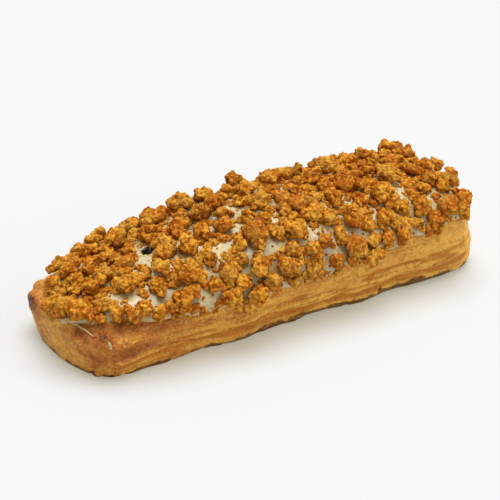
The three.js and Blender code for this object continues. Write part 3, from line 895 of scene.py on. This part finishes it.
# %% Mixing colours, mapping ranges, adding bumps
def mix_colour(nodes, links, factor, first, second, blend="MIX"):
    mix = nodes.new("ShaderNodeMix")
    mix.data_type = "RGBA"
    mix.blend_type = blend
    for socket, value in ((mix.inputs[0], factor), (mix.inputs[6], first), (mix.inputs[7], second)):
        if isinstance(value, (int, float)):
            socket.default_value = value
        elif isinstance(value, tuple):
            socket.default_value = (*value, 1)
        else:
            links.new(value, socket)
    return mix.outputs[2]


def add_range(nodes, links, value, low, high, to_low=0.0, to_high=1.0):
    mapped = nodes.new("ShaderNodeMapRange")
    links.new(value, mapped.inputs["Value"])
    for socket, number in zip(("From Min", "From Max", "To Min", "To Max"), (low, high, to_low, to_high)):
        mapped.inputs[socket].default_value = number
    return mapped.outputs["Result"]


def add_maths(nodes, links, operation, *values):
    """A maths node of some sockets and numbers."""
    maths = nodes.new("ShaderNodeMath")
    maths.operation = operation
    for socket, value in zip(maths.inputs, values):
        if isinstance(value, (int, float)):
            socket.default_value = value
        else:
            links.new(value, socket)
    return maths.outputs[0]


def add_bump(nodes, links, shader, height, strength, distance):
    bump = nodes.new("ShaderNodeBump")
    bump.inputs["Strength"].default_value = strength
    bump.inputs["Distance"].default_value = distance
    links.new(height, bump.inputs["Height"])
    links.new(bump.outputs["Normal"], shader.inputs["Normal"])


# %% [markdown]
# ### Baked crust
#
# Egg and sugar in choux brown with heat, so one ramp runs from straw yellow to burnt brown, and the
# darkness kept on every point picks a place on it. Light flecks are painted highlights, the furrows keep a
# redder brown, and the lowest edge is painted dark along a ragged line, as shade where it meets the tray.

# %% Baked crust
def crust_finish():
    material, nodes, links, shader = new_material("baked_crust")
    speckle = add_speckle(nodes, 420.0, 1300.0)
    place = nodes.new("ShaderNodeTexCoord")
    split = nodes.new("ShaderNodeSeparateXYZ")
    links.new(place.outputs["Object"], split.inputs[0])
    baking = add_ramp(
        nodes,
        [
            (0.0, (0.98, 0.50, 0.065)),
            (0.3, (0.80, 0.33, 0.04)),
            (0.5, (0.60, 0.185, 0.022)),
            (0.8, (0.36, 0.08, 0.012)),
            (1.0, (0.12, 0.033, 0.01)),
        ],
    )
    mottle = add_range(nodes, links, speckle.outputs["Drift"], 0.3, 0.7, -0.16, 0.16)
    darkness = add_maths(nodes, links, "ADD", mottle, add_mask(nodes, "bake"))
    links.new(darkness, baking.inputs["Fac"])
    # Painted highlights: light flecks, fewer where the crust baked darker.
    flecks = add_range(nodes, links, speckle.outputs["Fleck"], 0.44, 0.64, 0.0, 0.6)
    fading = add_range(nodes, links, darkness, 0.25, 0.7, 1.0, 0.3)
    painted_highlight = add_maths(nodes, links, "MULTIPLY", flecks, fading)
    paler = mix_colour(nodes, links, painted_highlight, baking.outputs["Color"], (1.0, 0.64, 0.16))
    toasted = add_range(nodes, links, speckle.outputs["Drift"], 0.5, 0.36, 0.0, 0.5)
    streaked = mix_colour(nodes, links, toasted, paler, (0.42, 0.15, 0.02))
    deep = add_range(nodes, links, add_mask(nodes, "groove"), 0.3, 1.0, 0.0, 0.7)
    grooved = mix_colour(nodes, links, deep, streaked, (0.56, 0.16, 0.012))
    # Painted shade: the lowest edge, where the crust meets the tray, darkens below a ragged line.
    ragged = nodes.new("ShaderNodeTexNoise")
    ragged.inputs["Scale"].default_value = 320.0
    links.new(place.outputs["Object"], ragged.inputs["Vector"])
    height = add_maths(nodes, links, "MULTIPLY_ADD", ragged.outputs["Fac"], -0.006, split.outputs["Z"])
    less_at_left = add_range(nodes, links, split.outputs["X"], -0.03, 0.03, 0.0, 0.0014)
    lowered = add_maths(nodes, links, "SUBTRACT", height, less_at_left)
    tray = add_range(nodes, links, lowered, -0.0016, -0.0024, 0.0, 0.85)
    tray_painted_shade = mix_colour(nodes, links, tray, grooved, (0.12, 0.05, 0.015))
    links.new(tray_painted_shade, shader.inputs["Base Color"])
    shader.inputs["Roughness"].default_value = 0.55
    shader.inputs["Specular IOR Level"].default_value = 0.2
    add_bump(nodes, links, shader, speckle.outputs["Fleck"], 0.9, 0.001)
    return material


# %% [markdown]
# ### Icing
#
# The icing is an off-white cream, and light goes a little way into it. Fat and crumbs stain it in
# flecks. Where the sheet is thin the crust shows through, and the pit is painted near black, as shade.

# %% Icing
def icing_finish():
    material, nodes, links, shader = new_material("cream_icing")
    speckle = add_speckle(nodes, 260.0, 900.0)
    drift = add_range(nodes, links, speckle.outputs["Drift"], 0.35, 0.65)
    cream = mix_colour(nodes, links, drift, (0.48, 0.38, 0.16), (0.67, 0.585, 0.37))
    stain = add_range(nodes, links, speckle.outputs["Fleck"], 0.5, 0.62, 0.0, 0.75)
    stained = mix_colour(nodes, links, stain, cream, (0.50, 0.33, 0.09))
    thin = add_range(nodes, links, add_mask(nodes, "thin"), 0.0, 1.0, 0.0, 0.7)
    see_through = mix_colour(nodes, links, thin, stained, (0.60, 0.38, 0.13))
    # Painted shade: the pit of the filling hole is made near black.
    pit = add_range(nodes, links, add_mask(nodes, "pit"), 0.15, 0.6)
    pit_painted_shade = mix_colour(nodes, links, pit, see_through, (0.03, 0.014, 0.008))
    links.new(pit_painted_shade, shader.inputs["Base Color"])
    shader.inputs["Roughness"].default_value = 0.32
    shader.inputs["Subsurface Weight"].default_value = 0.15
    shader.inputs["Subsurface Radius"].default_value = (0.003, 0.0022, 0.0013)
    add_bump(nodes, links, shader, speckle.outputs["Drift"], 0.2, 0.0008)
    return material


# %% [markdown]
# ### Biscuit
#
# Creases between grains are painted dark brown as shade, over the grain's own brown, and the tops of the
# grains are golden: that one ramp gives most of the crumble's look. Over it go tones that belong to a
# grain or to a whole lump, a drift from golden to russet, browner sides, painted shade on the undersides,
# and at last fine flecks.

# %% Biscuit
def biscuit_finish():
    material, nodes, links, shader = new_material("biscuit")
    speckle = add_speckle(nodes, 130.0, 1100.0)
    # Painted shade: the ramp runs to near black in the creases between grains, over the grain's own brown.
    depth = add_ramp(
        nodes,
        [
            (0.18, (0.07, 0.011, 0.001)),
            (0.4, (0.34, 0.08, 0.003)),
            (0.6, (0.68, 0.235, 0.009)),
            (0.85, (0.88, 0.43, 0.036)),
        ],
    )
    links.new(add_mask(nodes, "crease_shade"), depth.inputs["Fac"])
    darker = mix_colour(nodes, links, 1.0, depth.outputs["Color"], (0.45, 0.34, 0.3), "MULTIPLY")
    tone = add_range(nodes, links, add_mask(nodes, "tone"), 0.2, 1.3, 0.0, 1.0)
    toned = mix_colour(nodes, links, tone, depth.outputs["Color"], darker)
    tint = add_range(nodes, links, add_mask(nodes, "tint"), 0.3, 1.0, 0.0, 0.5)
    tinted = mix_colour(nodes, links, tint, toned, (0.56, 0.25, 0.04))
    golden = add_range(nodes, links, speckle.outputs["Drift"], 0.5, 0.64, 0.0, 0.6)
    tinted = mix_colour(nodes, links, golden, tinted, (0.74, 0.40, 0.055))
    russet = add_range(nodes, links, speckle.outputs["Drift"], 0.5, 0.38, 0.0, 0.65)
    tinted = mix_colour(nodes, links, russet, tinted, (0.46, 0.105, 0.006))
    # Browner sides that lay on the tray, and painted shade on the undersides of lumps.
    side_browning_and_underside_shade = add_range(nodes, links, add_mask(nodes, "baked"), 0.0, 1.0, 0.0, 0.7)
    tinted = mix_colour(nodes, links, side_browning_and_underside_shade, tinted, (0.17, 0.042, 0.004))
    fleck = add_range(nodes, links, speckle.outputs["Fleck"], 0.45, 0.65, 0.0, 0.55)
    flecked = mix_colour(nodes, links, fleck, tinted, (0.26, 0.065, 0.003))
    glint = add_range(nodes, links, speckle.outputs["Fleck"], 0.46, 0.34, 0.0, 0.5)
    lit = mix_colour(nodes, links, glint, flecked, (0.88, 0.50, 0.07))
    links.new(lit, shader.inputs["Base Color"])
    shader.inputs["Roughness"].default_value = 0.7
    shader.inputs["Specular IOR Level"].default_value = 0.08
    add_bump(nodes, links, shader, speckle.outputs["Fleck"], 0.9, -0.0005)
    return material


# %% Putting the finishes on
choux_crust.data.materials.append(crust_finish())
icing_material = icing_finish()
for piece in (icing_sheet, icing_thread, icing_smear):
    piece.data.materials.append(icing_material)
biscuit_material = biscuit_finish()
for piece in crumble:
    piece.data.materials.append(biscuit_material)
print("finishes", [material.name for material in bpy.data.materials])

# %% [markdown]
# ## Table, light and camera
#
# The eclair lies on a white table under soft light. A wide softbox overhead and an even surround do most
# of the work and give the gentle shadow at its foot. A weaker lamp at the right lifts the side that
# faces the camera. The table glows very faintly, like a sweep lit from behind, so that it stays white
# while the shadow stays warm. The camera stands in front of the left end and looks down on it from a
# little over half a metre.

# %% The table
TABLE_HALF = 3.0
table_mesh = bpy.data.meshes.new("table")
table_corners = [(x * TABLE_HALF, y * TABLE_HALF, 0) for x, y in ((-1, -1), (1, -1), (1, 1), (-1, 1))]
table_mesh.from_pydata(table_corners, [], [(0, 1, 2, 3)])
table = bpy.data.objects.new("table", table_mesh)
bpy.context.scene.collection.objects.link(table)
table_material, _, _, table_shader = new_material("white_table")
table_shader.inputs["Base Color"].default_value = (0.462, 0.48, 0.545, 1)
table_shader.inputs["Emission Color"].default_value = (0.93, 0.88, 0.60, 1)
table_shader.inputs["Emission Strength"].default_value = 0.30
table_shader.inputs["Roughness"].default_value = 0.8
table.data.materials.append(table_material)
print("table", 2 * TABLE_HALF, "m square")

# %% Soft light
world = bpy.data.worlds.new("soft_white")
world.use_nodes = True
world.node_tree.nodes["Background"].inputs["Color"].default_value = (1, 1, 1, 1)
world.node_tree.nodes["Background"].inputs["Strength"].default_value = 0.37
bpy.context.scene.world = world


def add_sky_lamp(name, direction, softness, strength):
    """A very soft lamp so far away that it lights the whole table evenly."""
    lamp = bpy.data.lights.new(name, "SUN")
    lamp.angle = math.radians(softness)
    lamp.energy = strength
    holder = bpy.data.objects.new(name, lamp)
    holder.rotation_euler = (-Vector(direction)).to_track_quat("-Z", "Y").to_euler()
    bpy.context.scene.collection.objects.link(holder)


add_sky_lamp("softbox", (0.13, 0.12, 1.0), 46, 2.9)
add_sky_lamp("side_fill", (0.8, -0.65, 0.45), 60, 0.8)
print("lamps", [lamp.name for lamp in bpy.data.lights])

# %% The camera
ELEVATION, TURN, DISTANCE = math.radians(32), math.radians(29), 0.65
AIM_HEIGHT, AIM_LEFT, AIM_UP = 0.016, 0.00247, 0.00031
ahead = Vector(
    (math.sin(TURN) * math.cos(ELEVATION), math.cos(TURN) * math.cos(ELEVATION), -math.sin(ELEVATION))
)
right = Vector((math.cos(TURN), -math.sin(TURN), 0))
aim = Vector((0, 0, AIM_HEIGHT)) - right * AIM_LEFT + right.cross(ahead) * AIM_UP
camera_data = bpy.data.cameras.new("camera")
camera_data.lens = 151.9
camera_data.sensor_width = 36
camera = bpy.data.objects.new("camera", camera_data)
camera.location = aim - ahead * DISTANCE
camera.rotation_euler = ahead.to_track_quat("-Z", "Y").to_euler()
bpy.context.scene.collection.objects.link(camera)
bpy.context.scene.camera = camera
bpy.context.scene.view_settings.view_transform = "Standard"
print("camera at", [round(c, 3) for c in camera.location])
